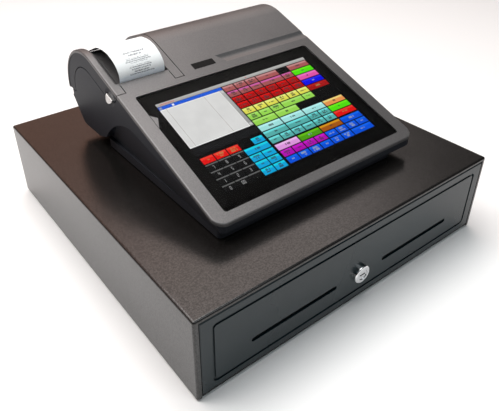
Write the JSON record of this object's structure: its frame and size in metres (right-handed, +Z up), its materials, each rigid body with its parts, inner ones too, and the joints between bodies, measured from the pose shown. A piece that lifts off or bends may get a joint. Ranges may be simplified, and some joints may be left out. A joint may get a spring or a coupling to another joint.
{
  "type": "point of sale terminal with cash drawer",
  "caption": "Slim tilted touchscreen till with built-in receipt printer, standing on a sheet-steel cash drawer with a key lock and media slots.",
  "frame": {"origin": "on the floor, under the middle of the whole set", "axes": "+X to the operator's right, +Y to the back, +Z up; the drawer opens along -Y"},
  "size_m": [0.41, 0.4244, 0.223],
  "materials": {
    "case_paint": "fine textured powder coat, warm charcoal",
    "drawer_paint": "satin powder coat, dark slate",
    "zinc_steel": "zinc plated sheet",
    "lock_chrome": "polished",
    "foot_rubber": "matt",
    "wheel_nylon": "off-white nylon",
    "till_black": "black, lightly grained",
    "clip_grey": "mid grey",
    "frame_metallic": "satin metallic paint, warm grey",
    "body_black": "fine-grained charcoal",
    "trim_black": "gloss black",
    "button_silver": "silver paint",
    "touch_pane": "clear, gloss",
    "gasket_black": "flat black",
    "screen": "lit picture",
    "motor_steel": "plain",
    "head_alloy": "machined",
    "platen_rubber": "ground rubber",
    "board_green": "solder mask",
    "chip_black": "moulded packages",
    "paper": "smooth thermal paper",
    "spring_steel": "drawn wire"
  },
  "bodies": {
    "case": {"case_cover": "case_paint", "case_base": "case_paint", "rubber_feet": "foot_rubber", "case_rails": "zinc_steel", "case_brackets": "zinc_steel", "solenoid": "motor_steel", "eject_spring": "spring_steel", "pedestal": "body_black", "bottom_housing": "body_black", "left_cheek": "body_black", "right_cheek": "body_black", "top_housing": "frame_metallic", "badge_plate": "trim_black", "bezel_tab": "frame_metallic", "tear_bar": "frame_metallic", "touch_glass": "touch_pane", "display_gasket": "gasket_black", "display_panel": "screen", "display_bracket": "zinc_steel", "hinge_pin": "zinc_steel", "print_motor": "motor_steel", "printer_frame": "zinc_steel", "thermal_head": "head_alloy", "paper_bucket": "body_black", "roll_spindle": "till_black", "main_board": "board_green", "board_chips": "chip_black", "power_supply": "zinc_steel", "port_sockets": "chip_black", "socket_panel": "zinc_steel", "switch_frame": "trim_black", "housing_screws": "zinc_steel"},
    "drawer": {"drawer_front": "drawer_paint", "drawer_tray": "zinc_steel", "till_tray": "till_black", "till_dividers": "till_black", "clip_rod": "zinc_steel", "drawer_rails": "zinc_steel", "lock_body": "lock_chrome"},
    "lock": {"lock_plug": "lock_chrome"},
    "lever": {"latch_lever": "zinc_steel"},
    "plunger": {"solenoid_plunger": "motor_steel"},
    "cover": {"printer_cover": "frame_metallic", "cover_skirt": "body_black", "receipt_paper": "paper"},
    "button": {"release_button": "button_silver"},
    "platen": {"platen_roller": "platen_rubber", "platen_axle": "motor_steel"},
    "pinion": {"motor_pinion": "motor_steel"},
    "roll": {"paper_roll": "paper"},
    "rocker": {"power_rocker": "trim_black"},
    "clip_1": {"note_clip_1": "clip_grey"},
    "clip_2": {"note_clip_2": "clip_grey"},
    "clip_3": {"note_clip_3": "clip_grey"},
    "clip_4": {"note_clip_4": "clip_grey"},
    "clip_5": {"note_clip_5": "clip_grey"},
    "case_wheel_left": {"case_roller_left": "wheel_nylon"},
    "case_wheel_right": {"case_roller_right": "wheel_nylon"},
    "drawer_wheel_left": {"drawer_roller_left": "wheel_nylon"},
    "drawer_wheel_right": {"drawer_roller_right": "wheel_nylon"}
  },
  "joints": [
    {"name": "drawer_slide", "type": "slide", "parent": "case", "child": "drawer", "axis": [0, -1, 0], "range_m": [0, 0.29]},
    {"name": "lock_turn", "type": "hinge", "parent": "drawer", "child": "lock", "pos_m": [0, -0.21, 0.0385], "axis": [0, 1, 0], "range_deg": [0, 90]},
    {"name": "latch_swing", "type": "hinge", "parent": "case", "child": "lever", "pos_m": [0.021, 0.2, 0.0155], "axis": [0, 0, -1], "range_deg": [0, 16.1]},
    {"name": "plunger_slide", "type": "slide", "parent": "case", "child": "plunger", "axis": [-1, 0, 0], "range_m": [0, 0.0028]},
    {"name": "cover_hinge", "type": "hinge", "parent": "case", "child": "cover", "pos_m": [-0.0925, 0.16717, 0.149], "axis": [-1, 0, 0], "range_deg": [0, 80]},
    {"name": "button_press", "type": "slide", "parent": "case", "child": "button", "axis": [1, 0, 0], "range_m": [0, 0.0025], "stiffness_N_per_m": 400},
    {"name": "platen_spin", "type": "hinge", "parent": "cover", "child": "platen", "pos_m": [-0.0936, 0.06069, 0.18276], "axis": [1, 0, 0], "continuous": true},
    {"name": "pinion_spin", "type": "hinge", "parent": "case", "child": "pinion", "pos_m": [-0.055, 0.0541, 0.17143], "axis": [1, 0, 0], "continuous": true},
    {"name": "roll_spin", "type": "hinge", "parent": "case", "child": "roll", "pos_m": [-0.0936, 0.11377, 0.15757], "axis": [1, 0, 0], "continuous": true},
    {"name": "rocker_tilt", "type": "hinge", "parent": "case", "child": "rocker", "pos_m": [0.1432, 0.118, 0.148], "axis": [0, 0, 1], "range_deg": [-7, 7]},
    {"name": "clip_1_lift", "type": "hinge", "parent": "drawer", "child": "clip_1", "pos_m": [-0.1456, 0.16, 0.06], "axis": [-1, 0, 0], "range_deg": [0, 42]},
    {"name": "clip_2_lift", "type": "hinge", "parent": "drawer", "child": "clip_2", "pos_m": [-0.0728, 0.16, 0.06], "axis": [-1, 0, 0], "range_deg": [0, 42]},
    {"name": "clip_3_lift", "type": "hinge", "parent": "drawer", "child": "clip_3", "pos_m": [0, 0.16, 0.06], "axis": [-1, 0, 0], "range_deg": [0, 42]},
    {"name": "clip_4_lift", "type": "hinge", "parent": "drawer", "child": "clip_4", "pos_m": [0.0728, 0.16, 0.06], "axis": [-1, 0, 0], "range_deg": [0, 42]},
    {"name": "clip_5_lift", "type": "hinge", "parent": "drawer", "child": "clip_5", "pos_m": [0.1456, 0.16, 0.06], "axis": [-1, 0, 0], "range_deg": [0, 42]},
    {"name": "case_wheel_left_roll", "type": "hinge", "parent": "case", "child": "case_wheel_left", "pos_m": [-0.1968, -0.18175, 0.04], "axis": [1, 0, 0], "continuous": true},
    {"name": "drawer_wheel_left_roll", "type": "hinge", "parent": "drawer", "child": "drawer_wheel_left", "pos_m": [-0.1968, 0.15, 0.04], "axis": [1, 0, 0], "continuous": true},
    {"name": "case_wheel_right_roll", "type": "hinge", "parent": "case", "child": "case_wheel_right", "pos_m": [0.1968, -0.18175, 0.04], "axis": [1, 0, 0], "continuous": true},
    {"name": "drawer_wheel_right_roll", "type": "hinge", "parent": "drawer", "child": "drawer_wheel_right", "pos_m": [0.1968, 0.15, 0.04], "axis": [1, 0, 0], "continuous": true}
  ],
  "couplings": [
    {"joint": "platen_spin", "follows": "roll_spin", "ratio": 5.4545},
    {"joint": "pinion_spin", "follows": "roll_spin", "ratio": -7.013},
    {"joint": "latch_swing", "follows": "plunger_slide", "rad_per_m": 100},
    {"joint": "case_wheel_left_roll", "follows": "drawer_slide", "rad_per_m": 125},
    {"joint": "case_wheel_right_roll", "follows": "drawer_slide", "rad_per_m": 125},
    {"joint": "drawer_wheel_left_roll", "follows": "drawer_slide", "rad_per_m": 125},
    {"joint": "drawer_wheel_right_roll", "follows": "drawer_slide", "rad_per_m": 125}
  ]
}
